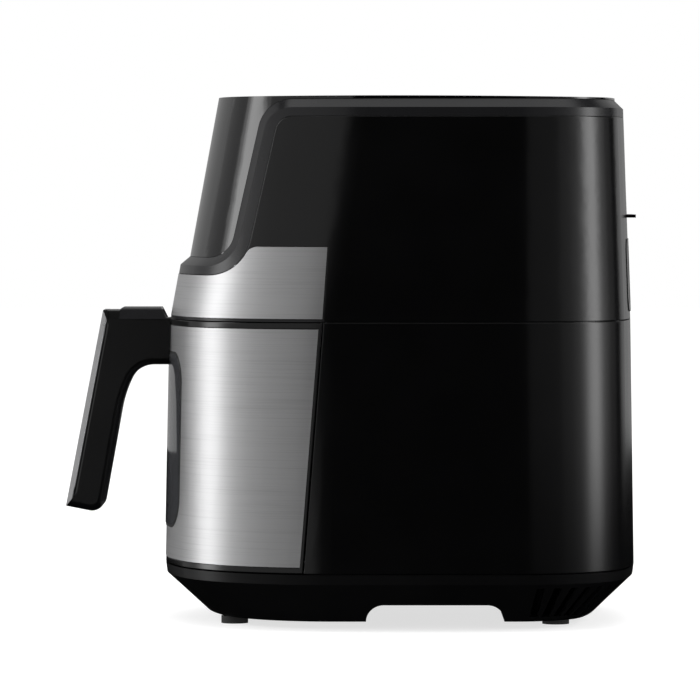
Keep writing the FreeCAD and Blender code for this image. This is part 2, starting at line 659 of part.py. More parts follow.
def make_heating_element():
    level = size("element_high")
    outer = torus("OuterTurn", "sizes.element_outer", "sizes.element_radius", level)
    inner = torus("InnerTurn", "sizes.element_inner", "sizes.element_radius", level)
    links = []
    for number, side in enumerate((-1, 1), 1):
        at = (side * size("element_inner"), size("axis_y"), level)
        length = "sizes.element_outer - sizes.element_inner"
        links.append(cylinder(f"Link{number}", "sizes.element_end_radius", length, at, (side, 0, 0)))
    ends = []
    for number, side in enumerate((-1, 1), 1):
        at = (side * size("terminal_x"), size("axis_y") - size("element_outer"), level)
        length = "sizes.dish_high + sizes.terminal_proud - sizes.element_high"
        ends.append(cylinder(f"Terminal{number}", "sizes.element_end_radius", length, at))
    keep(fuse("Element", [outer, inner] + links + ends), "heating_element")


def make_element_guard():
    level = size("guard_level")
    rings = [
        torus(f"GuardRing{number}", f"sizes.guard_ring_radius * {share}", "sizes.wire_radius", level)
        for number, share in enumerate(("1", "0.68", "0.36"), 1)
    ]
    bars = []
    for number in range(int(size("guard_bars"))):
        angle = math.pi * number / size("guard_bars")
        way = (math.cos(angle), math.sin(angle), 0)
        reach = size("guard_reach")
        at = (-reach * way[0], size("axis_y") - reach * way[1], level)
        bars.append(cylinder(f"GuardBar{number + 1}", "sizes.wire_radius", "2 * sizes.guard_reach", at, way))
    keep(fuse("Guard", rings + bars), "element_guard")


def blades(piece, hub, tip, low, height, count, tilt):
    """Straight blades between two radii, patterned round the axis of a fan's body."""
    profile = sketch(piece, "XY_Plane", "BladeProfile", low)
    rectangle(profile, f"{tip} - {hub}", "sizes.blade_thickness")
    profile.setExpression(".AttachmentOffset.Base.x", f"({tip} + {hub}) / 2")
    profile.AttachmentOffset = Placement(profile.AttachmentOffset.Base, Rotation(tilt, 0, 0))
    blade = pad(piece, profile, height, "Blade")
    pattern = piece.newObject("PartDesign::PolarPattern", "Blades")
    pattern.Originals = [blade]
    pattern.Axis = (profile_axis(piece), [""])
    pattern.Angle = 360
    pattern.Occurrences = count
    piece.Tip = pattern


def profile_axis(piece):
    return next(f for f in piece.Origin.OriginFeatures if f.Role == "Z_Axis")


def make_hot_air_fan():
    bore = "sizes.shaft_radius"
    steps = [
        ("sizes.fan_hub_radius", bore, "sizes.fan_low", "sizes.fan_height"),
        ("sizes.fan_radius", bore, "sizes.fan_low + sizes.fan_height - sizes.sheet_wall", "sizes.sheet_wall"),
    ]
    fan = turned("hot_air_fan", steps, fan_centre())
    height = "sizes.fan_height - sizes.sheet_wall"
    blades(fan, "(sizes.fan_hub_radius - 1)", "sizes.fan_radius", "sizes.fan_low", height, 10, 12)


def make_cooling_fan():
    bore = "sizes.shaft_radius"
    low, height = "sizes.cooling_fan_low", "sizes.cooling_fan_height"
    steps = [
        ("sizes.fan_hub_radius", bore, low, height),
        ("sizes.cooling_fan_radius", bore, low, "sizes.sheet_wall"),
    ]
    fan = turned("cooling_fan", steps, fan_centre())
    blades(fan, "(sizes.fan_hub_radius - 1)", "sizes.cooling_fan_radius", low, height, 8, 12)


def make_shaft_and_rotor():
    length = "sizes.shaft_high - sizes.shaft_low"
    turned("motor_shaft", [("sizes.shaft_radius", None, "sizes.shaft_low", length)], fan_centre())
    rotor_length = "sizes.motor_high - sizes.motor_low - 6"
    steps = [("sizes.rotor_radius", "sizes.shaft_radius", "sizes.motor_low + 3", rotor_length)]
    turned("motor_rotor", steps, fan_centre())


def make_motor():
    tall = "sizes.motor_high - sizes.motor_low"
    stator = ("sizes.motor_radius", "sizes.rotor_radius + 0.6", "sizes.motor_low", tall)
    turned("fan_motor", [stator], fan_centre())
    bore, height = "sizes.shaft_radius + sizes.shaft_clearance", "sizes.bearing_height"
    bush = ("sizes.bearing_radius", bore, f"sizes.motor_low - {height}", height)
    turned("lower_bearing", [bush], fan_centre())
    turned("upper_bearing", [("sizes.bearing_radius", bore, "sizes.motor_high", height)], fan_centre())


def make_heat_shield():
    """Plate over the dish, on four stand-offs, with holes for the shaft and the terminals."""
    level, wall = size("shield_level"), size("sheet_wall")
    plate = disc(size("shield_radius"), level, level + wall)
    reach, radius = size("standoff_reach"), size("standoff_radius")
    places = [(x * reach, size("axis_y") + y * reach) for x in (-1, 1) for y in (-1, 1)]
    legs = [disc(radius, size("dish_high"), level, y, x) for x, y in places]
    shield = plate.fuse(legs).cut([disc(size("shaft_hole"), level - 5, level + 5)] + terminals(2.0))
    feature("heat_shield", shield.removeSplitter())


def make_motor_bracket():
    """Two cheeks and two bridges that carry the motor above the shield."""
    foot = size("shield_level") + size("sheet_wall")
    low_bridge, high_bridge = size("motor_low") - size("bearing_height"), size("motor_high")
    half, depth, thick = size("bracket_half_width"), size("bracket_depth"), size("bracket_sheet")
    front, rear = size("axis_y") - depth / 2, size("axis_y") + depth / 2
    cheeks = [box(x, x + thick, front, rear, foot, high_bridge + thick) for x in (-half, half - thick)]
    bridges = [box(-half, half, front, rear, z, z + thick) for z in (low_bridge, high_bridge)]
    bores = disc(size("bearing_radius"), foot, high_bridge + 20)
    body_hole = disc(size("motor_radius"), size("motor_low"), size("motor_high"))
    feature("motor_bracket", cheeks[0].fuse([cheeks[1]] + bridges).cut([bores, body_hole]).removeSplitter())


def make_boards():
    """The power board stands in the rear, the panel board leans behind the panel."""
    at = (-size("board_half_width"), size("board_y"), size("board_low"))
    board = ("2 * sizes.board_half_width", "sizes.board_thickness", "sizes.board_height")
    plate = block("PowerPlate", *board, at)
    parts = [plate]
    for number, (share, wide, tall) in enumerate(((0.06, 26, 24), (0.42, 20, 30), (0.72, 28, 16)), 1):
        spot = (at[0] + share * 2 * size("board_half_width"), at[1] - 14, at[2] + 8)
        parts.append(block(f"PowerPart{number}", str(wide), "14", str(tall), spot))
    keep(fuse("PowerBoard", parts), "power_board")
    panel = block(
        "PanelBoard", "2 * sizes.panel_board_half_width", "sizes.board_thickness", "sizes.panel_board_height",
        (-size("panel_board_half_width"), size("panel_board_y"), size("panel_board_low")),
    )
    panel.Placement.Rotation = Rotation(Vector(1, 0, 0), -size("panel_board_lean"))
    keep(panel, "panel_board")


def make_cutout_and_switch():
    at = (size("cutout_x"), size("cutout_y"), size("ceiling_high"))
    turned("thermal_cutout", [("8", None, "0", "5"), ("5", None, "5", "4")], at)
    at = (size("liner_half_width"), size("switch_y"), size("switch_low"))
    keep(block("ReedSwitch", "4", "9", "14", at), "reed_switch")


# ---------------------------------------------------------------- drawer
def window_block(inset, front=-200.0, rear=-60.0):
    """The rounded window outline, moved in by inset, as a block through the drawer front."""
    half = size("window_half_width") - inset
    low, high = size("window_low") + inset, size("window_high") - inset
    return round_box_y(half, low, high, size("window_radius") - inset, front, rear)


def drawer_span():
    gap = size("seam_gap")
    return size("sill_level") + gap, size("waist_level") - gap


def latch_slot():
    """The way of the latch through the front, into the drawer."""
    half = size("latch_half_width") + 1.0
    return box(-half, half, -160, -100, size("slot_low"), size("slot_high"))


def make_drawer_front():
    low, high = drawer_span()
    wall, lip, gap = size("shell_wall"), size("lip_depth"), size("split_gap") / 2
    front = body_shell(low, high, 0, lip)
    front = front.cut(body_shell(low + wall, high - wall, wall, lip + 5))
    front = front.common(in_front_of_split(low - 5, high + 5, gap))
    recess = body_shell(low - 5, high + 5, -2, size("steel_sheet") - size("steel_proud"))
    recess = recess.common(panel_region(0.2)).cut(window_block(0))
    tools = [recess, window_block(0), latch_slot()] + handle_screw_shanks(0.0)
    feature("drawer_front", front.cut(tools))


def panel_region(grow=0.0):
    low, high = size("panel_low") - grow, size("panel_high") + grow
    return in_front_of_split(low, high, size("panel_margin") + size("split_gap") / 2 - grow)


def make_steel_panel():
    skin = body_shell(30, 200, -size("steel_proud"), size("steel_sheet") - size("steel_proud"))
    skin = skin.common(panel_region())
    feature("drawer_steel_panel", skin.cut([window_block(0), latch_slot()] + handle_screw_shanks(0.0)))


def make_window():
    low, high = size("window_low") - 5, size("window_high") + 5
    proud, glass = size("glass_proud"), size("glass_thickness")
    ring = window_block(0).cut(window_block(size("gasket_width")))
    seal = body_shell(low, high, 0.3 - proud, glass - proud + 0.6)
    feature("window_gasket", seal.common(ring))
    pane = body_shell(low, high, -proud, glass - proud)
    feature("window_glass", pane.common(window_block(size("gasket_width"))))


def pan_body(inset=0.0, floor=0.0):
    """The tapered pan as a solid, moved in by inset and up from its floor."""
    low = named_outline("pan_floor", size("pan_floor_level") + floor)
    high = named_outline("pan", size("pan_level") + 0.01)
    return Part.makeLoft([outline_wire(low, inset), outline_wire(high, inset)], True, True)


def make_drawer_pan():
    wall, level, rim = size("pan_wall"), size("pan_level"), size("rim_width")
    flange = can("pan", level - wall, level, -rim)
    pan = pan_body().fuse(flange).cut(pan_body(wall, wall))
    port = window_block(size("port_margin"), -200, -60)
    feature("drawer_pan", pan.removeSplitter().cut(port))
    pane = pan_body(-3.2).cut(pan_body(-0.15)).common(window_block(size("port_margin") - 5, -200, -60))
    feature("inner_pane", pane)


def make_window_frame():
    """The spacer between the drawer front and the pan, round the window, with the catch."""
    ring = window_block(-size("frame_width")).cut(window_block(-0.3))
    ring = ring.cut(box(-7, 7, -200, 0, size("frame_notch"), 200))
    depth = body(40, 190, size("shell_wall") + 0.15).cut(pan_body(-0.15)).common(ring)
    level, rim = size("pan_level"), size("rim_width")
    depth = depth.cut(can("pan", level - size("pan_wall") - 0.2, level + 20, -rim - 0.3))
    feature("window_frame", depth)


def make_catch():
    """A bracket over the pan's rim, with the lip that the latch hooks behind."""
    half = size("catch_half_width")
    level, low, high = size("pan_level"), size("catch_low"), size("catch_high")
    front, rear = size("catch_front"), size("catch_rear")
    lip = box(-half, half, front, front + 1.6, low, high)
    roof = box(-half, half, front, rear, high - 1.6, high)
    leg = box(-half, half, rear - 1.6, rear, level, high)
    feature("pan_catch", lip.fuse([roof, leg]).removeSplitter())


def along_bend(start, radius, first, last):
    """The end of an arc that turns downwards, between two angles below the horizontal."""
    forward = radius * (math.sin(last) - math.sin(first))
    down = radius * (math.cos(first) - math.cos(last))
    return (start[0] - forward, start[1] - down)


def trim_seat(gap=0.0):
    """The two inner corners of the trim strip, moved back by a gap."""
    high = (size("mitre_high_y") + gap, size("mitre_high_z"))
    low = (size("mitre_low_y") + gap, size("mitre_low_z"))
    return high, low


def handle_block():
    """The grip and its arm seen from the side, made solid across the width."""
    first, last = math.radians(size("arm_bend_turn")), math.radians(size("grip_turn"))
    bend = (size("arm_bend_y"), size("arm_low"))
    bend_middle = along_bend(bend, size("arm_bend_radius"), 0, first / 2)
    knee = along_bend(bend, size("arm_bend_radius"), 0, first)
    knee_middle = along_bend(knee, size("grip_bend_radius"), first, (first + last) / 2)
    grip = along_bend(knee, size("grip_bend_radius"), first, last)
    gap = size("trim_gap")
    mitre_high, mitre_low = trim_seat(gap)
    straight = [
        grip,
        (size("grip_foot_y"), size("grip_foot_z")),
        (size("tip_low_y") + gap, size("tip_low_z")),
        mitre_low,
        mitre_high,
        (size("tip_high_y") + gap, size("tip_high_z")),
        (size("top_end_y"), size("tip_high_z")),
        (size("block_start_y"), size("block_high")),
        (size("block_end_y"), size("block_high")),
        (size("block_end_y"), size("arm_low")),
        bend,
    ]
    corners = [Vector(0, y, z) for y, z in straight]
    arcs = [
        Part.Arc(*[Vector(0, y, z) for y, z in points]).toShape()
        for points in ((bend, bend_middle, knee), (knee, knee_middle, grip))
    ]
    lines = [Part.makeLine(a, b) for a, b in zip(corners, corners[1:])]
    return prism_x(arcs + lines, size("handle_half_width"))


def side_edges(shape):
    """The edges on the two flat sides of a block, with their middles."""
    found = []
    for edge in shape.Edges:
        if edge.BoundBox.XLength < 0.01:
            found.append((edge, edge.valueAt((edge.FirstParameter + edge.LastParameter) / 2)))
    return found


def rounded_grip():
    """The handle's block with its foot, its inner edges and its front edges rounded."""
    grip = handle_block()
    foot = Vector(0, size("grip_foot_y"), size("grip_foot_z"))
    across = [e for e in grip.Edges if e.BoundBox.XLength > 1]
    foot_edges = [e for e in across if e.CenterOfMass.distanceToPoint(foot) < 0.5]
    grip = grip.makeFillet(size("grip_foot_radius"), foot_edges)
    front_y = (size("mitre_high_y") + size("mitre_low_y")) / 2
    front = [e for e, middle in side_edges(grip) if abs(middle.y - front_y) < 2 and e.Length > 50]
    grip = grip.makeFillet(size("grip_front_radius"), front)
    under = size("guard_low") - 20
    inner = [e for e, middle in side_edges(grip) if middle.z < under and front_y + 4 < middle.y < -105]
    return grip.makeFillet(size("grip_edge_radius"), inner)


def make_handle():
    grip = rounded_grip()
    half, gap = size("handle_half_width"), size("guard_gap")
    rail = half - size("guard_wall") - gap
    front = size("guard_front_low_y") - size("guard_travel") - gap
    ledge = size("guard_low") - gap
    rebates = [
        box(low, high, front, size("block_end_y"), ledge, 250) for low, high in ((-40, -rail), (rail, 40))
    ]
    seat = size("window_high") + 1.5
    near_glass = body(150, seat, -size("glass_proud") - 0.15)
    near_panel = body(seat, size("waist_level"), -size("steel_proud") - 0.05)
    near_band = body(size("waist_level"), 215, -0.8)
    grip = grip.cut(rebates)
    top = [
        e for e in grip.Edges
        if abs(abs(e.CenterOfMass.x) - rail) < 0.01 and e.BoundBox.ZMin > size("tip_high_z") - 0.1
    ]
    grip = grip.makeFillet(size("rail_edge_radius"), top)
    grip = grip.cut([near_glass, near_panel, near_band]).cut(handle_hollows())
    feature("handle_body", grip.removeSplitter())
    mitre_high, mitre_low = trim_seat()
    tips = [(size("tip_low_y"), size("tip_low_z")), (size("tip_high_y"), size("tip_high_z"))]
    strip = polygon_x(tips + [mitre_high, mitre_low], half)
    inner_y = (mitre_high[0] + mitre_low[0]) / 2
    bevelled = [e for e, middle in side_edges(strip) if abs(middle.y - inner_y) < 1]
    feature("handle_trim", strip.makeChamfer(size("trim_edge"), bevelled))


def handle_hollows():
    """Bores for the button, its stem, the pin and the screws, and the room of the lever."""
    y, pin_y, pin_z = size("button_y"), size("latch_pin_y"), size("latch_pin_z")
    half = size("latch_half_width") + 1.0
    room = box(-half, half, pin_y - 5, -100, size("slot_low"), size("lever_room_high"))
    wide, long = size("button_width") / 2 + 0.3, size("button_length") / 2 + 0.3
    bore = box(-wide, wide, y - long, y + long, size("shelf_high"), 220)
    stem = disc(size("button_stem_radius") + 0.2, size("lever_room_high") - 1, size("shelf_high") + 1, y)
    pin = Part.makeCylinder(size("latch_pin_radius"), 2 * size("pin_half_length"),
                            Vector(-size("pin_half_length"), pin_y, pin_z), Vector(1, 0, 0))
    return [room, bore, stem, pin] + handle_screw_shanks(0.0)


def handle_screw_shanks(gap):
    x, z = size("handle_screw_x"), size("handle_screw_z")
    start, length = size("handle_screw_start"), size("handle_screw_length")
    return [
        Part.makeCylinder(size("screw_radius") + gap, length, Vector(side * x, start, z), Vector(0, -1, 0))
        for side in (-1, 1)
    ]


def make_handle_screws():
    screws = []
    for number, side in enumerate((-1, 1), 1):
        at = (side * size("handle_screw_x"), size("handle_screw_start"), size("handle_screw_z"))
        shank_sizes = ("sizes.screw_radius", "sizes.handle_screw_length")
        shank = cylinder(f"HandleShank{number}", *shank_sizes, at, (0, -1, 0))
        head = cylinder(f"HandleHead{number}", "sizes.screw_head_radius", "2", at, (0, 1, 0))
        screws.append(fuse(f"HandleScrew{number}", [shank, head]))
    keep(compound("HandleScrews", screws), "handle_screws")


def make_guard():
    """The sliding cover over the button: a shallow channel with round outer edges."""
    high, low, wall = size("guard_high"), size("guard_low"), size("guard_wall")
    half = size("handle_half_width")
    profile = [
        (size("guard_front_low_y"), low), (size("guard_front_high_y"), high),
        (size("guard_rear_high_y"), high), (size("guard_rear_low_y"), low),
    ]
    cover = polygon_x(profile, half)
    rear = size("guard_rear_high_y") - 1
    top = [e for e in cover.Edges if e.BoundBox.ZMin > high - 0.1 and e.BoundBox.YMin < rear]
    cover = cover.makeFillet(size("guard_edge_radius"), top)
    feature("release_guard", cover.cut(box(wall - half, half - wall, -170, -100, low - 5, high - wall)))


def make_button():
    """A wide button on a round stem."""
    piece = new_body("release_button")
    foot = "sizes.button_high - sizes.button_head"
    profile = sketch(piece, "XY_Plane", "HeadProfile", foot)
    rectangle(profile, "sizes.button_width", "sizes.button_length")
    pad(piece, profile, "sizes.button_head", "Head")
    end = "sizes.latch_pin_z + sizes.stem_gap"
    annulus_pad(piece, 1, "sizes.button_stem_radius", None, end, f"{foot} - {end.replace(' + ', ' - ')}")
    y = size("button_y")
    piece.Placement = Placement(Vector(0, y, 0), Rotation())
    make_spring(y)


def make_spring(y):
    """A coil spring: many-sided sections of the wire, ruled along a helix."""
    wire, turns, radius = size("spring_wire"), size("spring_turns"), size("spring_radius")
    foot = size("shelf_high") + wire / 2 + 0.05
    rise = size("button_high") - size("button_head") - wire / 2 - 0.05 - foot
    steps = int(16 * turns)
    sections = []
    for step in range(steps + 1):
        angle = 2 * math.pi * turns * step / steps
        corners = []
        for side in range(9):
            around = 2 * math.pi * (side % 8) / 8
            reach = radius + wire / 2 * math.cos(around)
            level = foot + rise * step / steps + wire / 2 * math.sin(around)
            corners.append(Vector(reach * math.cos(angle), y + reach * math.sin(angle), level))
        sections.append(Part.makePolygon(corners))
    feature("button_spring", Part.makeLoft(sections, True, True))


def make_latch():
    """The lever: a boss round its pin, a bar under the button's stem and a tooth behind the catch."""
    pin_y, pin_z, half = size("latch_pin_y"), size("latch_pin_z"), size("latch_half_width")
    tip, tooth = size("tooth_rear"), size("tooth_high")
    along = Vector(1, 0, 0)
    boss = Part.makeCylinder(3.4, 2 * half, Vector(-half, pin_y, pin_z), along)
    bar = box(-half, half, pin_y, tip, pin_z - 1.5, pin_z + 1.5)
    hook = box(-half, half, tip - 2.0, tip, pin_z - 1.5, tooth)
    bore = Part.makeCylinder(size("latch_pin_radius") + 0.05, 40, Vector(-20, pin_y, pin_z), along)
    feature("release_latch", boss.fuse([bar, hook]).cut(bore).removeSplitter())
    at = (-size("pin_half_length"), pin_y, pin_z)
    rod = cylinder("LatchPin", "sizes.latch_pin_radius", "2 * sizes.pin_half_length", at, (1, 0, 0))
    keep(rod, "latch_pin")


def make_magnet():
    at = (size("magnet_x"), size("switch_y") - 18, size("switch_low"))
    keep(block("Magnet", "6", "8", "12", at), "drawer_magnet")


def make_crisper():
    """Perforated plate with a low upturned rim, on four corner bumpers."""
    low, thick, rim = size("crisper_low"), size("crisper_thickness"), size("crisper_rim")
    inset = size("pan_wall") + size("crisper_gap")
    plate = can("pan_floor", low, low + rim, inset)
    plate = plate.cut(can("pan_floor", low + thick, low + rim + 5, inset + thick))
    pitch, radius = size("crisper_hole_pitch"), size("crisper_hole_radius")
    centre_y = (size("pan_floor_nose") + size("pan_floor_tail")) / 2
    holes = []
    for i in range(-5, 6):
        for j in range(-6, 7):
            x, y = i * pitch, centre_y + j * pitch
            if can_hold(x, y, inset + thick + radius + 3):
                holes.append(disc(radius, low - 1, low + thick + 1, y, x))
    feature("crisper_plate", plate.cut(holes))
    bumps = []
    for number, (x, y) in enumerate(bumper_places(), 1):
        at = (x, y, size("pan_floor_level") + size("pan_wall"))
        height = "sizes.crisper_low - sizes.pan_floor_level - sizes.pan_wall"
        bumps.append(cylinder(f"Bumper{number}", "sizes.bumper_radius", height, at))
    keep(compound("Bumpers", bumps), "crisper_bumpers")


def can_hold(x, y, margin):
    """Whether a point lies inside the pan's floor by a margin."""
    p = outline_points(named_outline("pan_floor", 0), margin)
    if not (p["nose"][1] < y < p["tail"][1] and abs(x) < p["side_front"][0]):
        return False
    for name, sign in (("front", -1), ("rear", 1)):
        cx, cy = p[f"{name}_c"]
        if abs(x) > cx and sign * (y - cy) > 0 and math.hypot(abs(x) - cx, y - cy) > p[f"{name}_r"]:
            return False
    return True


def bumper_places():
    return [(side * 66.0, y) for side in (-1, 1) for y in (-52.0, 100.0)]


# ---------------------------------------------------------------- the whole object
def make_everything():
    make_base_tray()
    make_feet()
    make_base_screws()
    make_lower_shell()
    make_upper_shell()
    make_bezel_frame()
    make_control_panel()
    make_upper_band()
    make_seam_trim()
    make_rear_outlet()
    make_rear_spacer()
    make_cord_gland()
    make_chamber_liner()
    make_chamber_ceiling()
    make_rails()
    make_heating_element()
    make_element_guard()
    make_hot_air_fan()
    make_cooling_fan()
    make_shaft_and_rotor()
    make_motor()
    make_heat_shield()
    make_motor_bracket()
    make_boards()
    make_cutout_and_switch()
    make_drawer_front()
    make_steel_panel()
    make_window()
    make_drawer_pan()
    make_window_frame()
    make_catch()
    make_handle()
    make_handle_screws()
    make_guard()
    make_button()
    make_latch()
    make_magnet()
    make_crisper()


def check_and_write():
    doc.recompute()
    failed = [o.Label for o in doc.Objects if {"Invalid", "Error"} & set(o.State)]
    if failed:
        raise RuntimeError(f"failed objects: {failed}")
    os.makedirs("parts", exist_ok=True)
    for obj in NODES:
        if obj.Shape.isNull() or not obj.Shape.isValid():
            raise RuntimeError(f"bad shape: {obj.Label}")
        obj.Shape.exportStep(os.path.join("parts", f"{obj.Label}.step"))
        box_of = obj.Shape.BoundBox
        print(f"{obj.Label:22s} {len(obj.Shape.Solids)} solids {obj.Shape.Volume:10.1f} mm3  "
              f"x {box_of.XMin:7.1f} {box_of.XMax:7.1f}  y {box_of.YMin:7.1f} {box_of.YMax:7.1f}  "
              f"z {box_of.ZMin:6.1f} {box_of.ZMax:6.1f}")


make_everything()
check_and_write()
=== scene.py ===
"""Looks of the drawer air fryer: materials, refined pieces, light and camera round the CAD frame."""

import math

import bmesh
import bpy
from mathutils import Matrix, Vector


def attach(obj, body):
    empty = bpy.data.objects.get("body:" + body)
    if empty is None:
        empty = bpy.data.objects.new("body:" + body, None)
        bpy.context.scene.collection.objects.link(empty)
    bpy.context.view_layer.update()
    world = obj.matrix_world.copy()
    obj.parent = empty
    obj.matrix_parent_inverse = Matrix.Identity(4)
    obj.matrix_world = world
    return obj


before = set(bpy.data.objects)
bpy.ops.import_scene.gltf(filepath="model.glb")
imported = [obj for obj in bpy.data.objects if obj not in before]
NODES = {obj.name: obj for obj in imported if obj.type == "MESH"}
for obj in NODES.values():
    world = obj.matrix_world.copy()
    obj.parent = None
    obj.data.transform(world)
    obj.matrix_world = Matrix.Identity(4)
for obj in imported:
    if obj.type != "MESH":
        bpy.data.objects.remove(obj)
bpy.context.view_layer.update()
MM = 0.001

# the bead beside the handle's trim strip
BEAD_RADIUS, BEAD_INSET, BEAD_SEAT = 0.5 * MM, 0.25 * MM, 0.2 * MM
BEAD_TIP, TAPER_RATE = 0.3, 6
# edges of the gloss mouldings
EDGE_RADIUS = 0.9 * MM
# the studio: upright lights stand on a circle of this radius, in metres
LIGHT_CIRCLE, LIGHT_FOOT, LIGHT_HEAD, LOW_FOOT = 1.9, 0.02, 1.9, -0.4
LEFT_CORE_ANGLE, LEFT_CORE = -97.5, ((4, 3.6), (7, 3.4), (10, 1.8), (14, 0.7))
RIGHT_CORE_ANGLE = 86
RIGHT_CORE = ((5, 4.2), (8, 3.4), (12, 1.8), (17, 0.7), (25, 0.35), (38, 0.15))
FLOOR_REACH, FLOOR_GLOW = 9.0, 0.7
CAMERA_PLACE, CAMERA_AIM, CAMERA_LENS = (3.46, 0.0, 0.2739), (0.0, 0.0, 0.1711), 277.0


# ---------------------------------------------------------------- node helpers
def new_material(name):
    """A material with nodes, its Principled shader and a function that adds nodes."""
    material = bpy.data.materials.new(name)
    material.use_nodes = True
    tree = material.node_tree
    shader = tree.nodes["Principled BSDF"]

    def add(kind, **values):
        node = tree.nodes.new(kind)
        for key, value in values.items():
            if key in node.inputs:
                node.inputs[key].default_value = value
            else:
                setattr(node, key, value)
        return node

    return material, shader, add, tree.links.new


def set_shader(shader, **values):
    """Sets plain values on the shader's own sockets."""
    names = {
        "metallic": "Metallic", "roughness": "Roughness", "ior": "IOR", "specular": "Specular IOR Level",
        "anisotropic": "Anisotropic", "anisotropic_turn": "Anisotropic Rotation",
        "transmission": "Transmission Weight", "glow_colour": "Emission Color", "glow": "Emission Strength",
    }
    for key, value in values.items():
        shader.inputs[names[key]].default_value = value


def place_texture(add, link, scale):
    """Object coordinates, in metres, stretched by a scale for each axis."""
    where = add("ShaderNodeTexCoord")
    mapping = add("ShaderNodeMapping", Scale=scale)
    link(where.outputs["Object"], mapping.inputs["Vector"])
    return mapping.outputs["Vector"]


def noise(add, link, vector, scale, detail=3.0, roughness=0.5):
    """A fractal noise between 0 and 1."""
    node = add("ShaderNodeTexNoise", Scale=scale, Detail=detail, Roughness=roughness)
    link(vector, node.inputs["Vector"])
    return node.outputs["Fac"]


def ramp(add, link, source, low, high, from_low=0.3, from_high=0.7):
    """Maps a texture onto a range of values."""
    node = add("ShaderNodeMapRange")
    node.inputs["From Min"].default_value = from_low
    node.inputs["From Max"].default_value = from_high
    node.inputs["To Min"].default_value = low
    node.inputs["To Max"].default_value = high
    link(source, node.inputs["Value"])
    return node.outputs["Result"]


def two_colours(add, link, source, first, second, low=0.3, high=0.7):
    """Blends from one colour to another as a texture rises from low to high."""
    node = add("ShaderNodeValToRGB")
    node.color_ramp.elements[0].position = low
    node.color_ramp.elements[0].color = (*first, 1.0)
    node.color_ramp.elements[1].position = high
    node.color_ramp.elements[1].color = (*second, 1.0)
    link(source, node.inputs["Fac"])
    return node.outputs["Color"]


def bump(add, link, shader, height, strength, distance):
    """Tilts the surface by a height texture."""
    node = add("ShaderNodeBump", Strength=strength, Distance=distance)
    link(height, node.inputs["Height"])
    link(node.outputs["Normal"], shader.inputs["Normal"])


# ---------------------------------------------------------------- materials
def plastic(name, dark, light, rough_low, rough_high, grain=0.0, grain_scale=1400.0, specular=0.5):
    """Moulded plastic: slight cloudiness in colour and gloss, and a grain when it is textured."""
    material, shader, add, link = new_material(name)
    space = place_texture(add, link, (1.0, 1.0, 1.0))
    cloud = noise(add, link, space, 22.0, 4.0)
    link(two_colours(add, link, cloud, dark, light), shader.inputs["Base Color"])
    gloss = noise(add, link, space, 9.0, 5.0)
    link(ramp(add, link, gloss, rough_low, rough_high), shader.inputs["Roughness"])
    set_shader(shader, specular=specular)
    if grain:
        bump(add, link, shader, noise(add, link, space, grain_scale, 2.0, 0.6), grain, 0.0001)
    return material


def gloss_black(name="gloss_black"):
    """High-gloss moulding whose edges are slightly rounded, so that the seams catch light."""
    material = plastic(name, (0.0008, 0.0008, 0.0009), (0.0013, 0.0013, 0.0015), 0.18, 0.22)
    tree = material.node_tree
    rounded = tree.nodes.new("ShaderNodeBevel")
    rounded.samples = 8
    rounded.inputs["Radius"].default_value = EDGE_RADIUS
    tree.links.new(rounded.outputs["Normal"], tree.nodes["Principled BSDF"].inputs["Normal"])
    return material


def panel_black(name="panel_black"):
    """The deep gloss of the control panel."""
    return plastic(name, (0.0014, 0.0014, 0.0016), (0.0020, 0.0020, 0.0023), 0.08, 0.11, specular=0.65)


def satin_grey(name="satin_grey"):
    """Fine-grained dark grey of the bezel and the small trims."""
    dark, light = (0.0055, 0.0055, 0.0062), (0.0070, 0.0070, 0.0078)
    return plastic(name, dark, light, 0.24, 0.30, 0.05, 1800.0, specular=0.4)


def grip_black(name="grip_black"):
    """Semi-gloss grip with a very fine grain."""
    dark, light = (0.0012, 0.0012, 0.0014), (0.0020, 0.0020, 0.0023)
    return plastic(name, dark, light, 0.22, 0.28, 0.05, 2200.0, specular=0.9)


def rubber(name="soft_rubber"):
    """Matt black rubber."""
    dark, light = (0.012, 0.012, 0.012), (0.020, 0.020, 0.020)
    return plastic(name, dark, light, 0.65, 0.8, 0.25, 1500.0, specular=0.3)


def brushed_steel(name="brushed_steel"):
    """Steel brushed along the horizontal: long fine scratches that spread light up and down."""
    material, shader, add, link = new_material(name)
    fine = noise(add, link, place_texture(add, link, (22.0, 22.0, 2600.0)), 1.0, 3.0, 0.6)
    broad = noise(add, link, place_texture(add, link, (9.0, 9.0, 900.0)), 1.0, 2.0, 0.6)
    blend = add("ShaderNodeMath", operation="ADD")
    link(fine, blend.inputs[0])
    link(broad, blend.inputs[1])
    height = blend.outputs["Value"]
    colours = two_colours(add, link, height, (0.52, 0.52, 0.525), (0.60, 0.60, 0.605), 0.7, 1.3)
    link(colours, shader.inputs["Base Color"])
    link(ramp(add, link, fine, 0.44, 0.50), shader.inputs["Roughness"])
    set_shader(shader, metallic=1.0, anisotropic=0.5, anisotropic_turn=0.25)
    tangent = add("ShaderNodeTangent", direction_type="RADIAL", axis="Z")
    link(tangent.outputs["Tangent"], shader.inputs["Tangent"])
    bump(add, link, shader, height, 0.05, 0.00003)
    return material


def metal(
    name, dark, light, rough_low, rough_high, streak=(60.0, 60.0, 60.0), bump_strength=0.05, metallic=1.0
):
    """Bare or coated metal with a faint grain and patchy gloss."""
    material, shader, add, link = new_material(name)
    grain = noise(add, link, place_texture(add, link, streak), 3.0, 5.0, 0.65)
    link(two_colours(add, link, grain, dark, light), shader.inputs["Base Color"])
    link(ramp(add, link, grain, rough_low, rough_high), shader.inputs["Roughness"])
    set_shader(shader, metallic=metallic)
    bump(add, link, shader, grain, bump_strength, 0.0001)
    return material


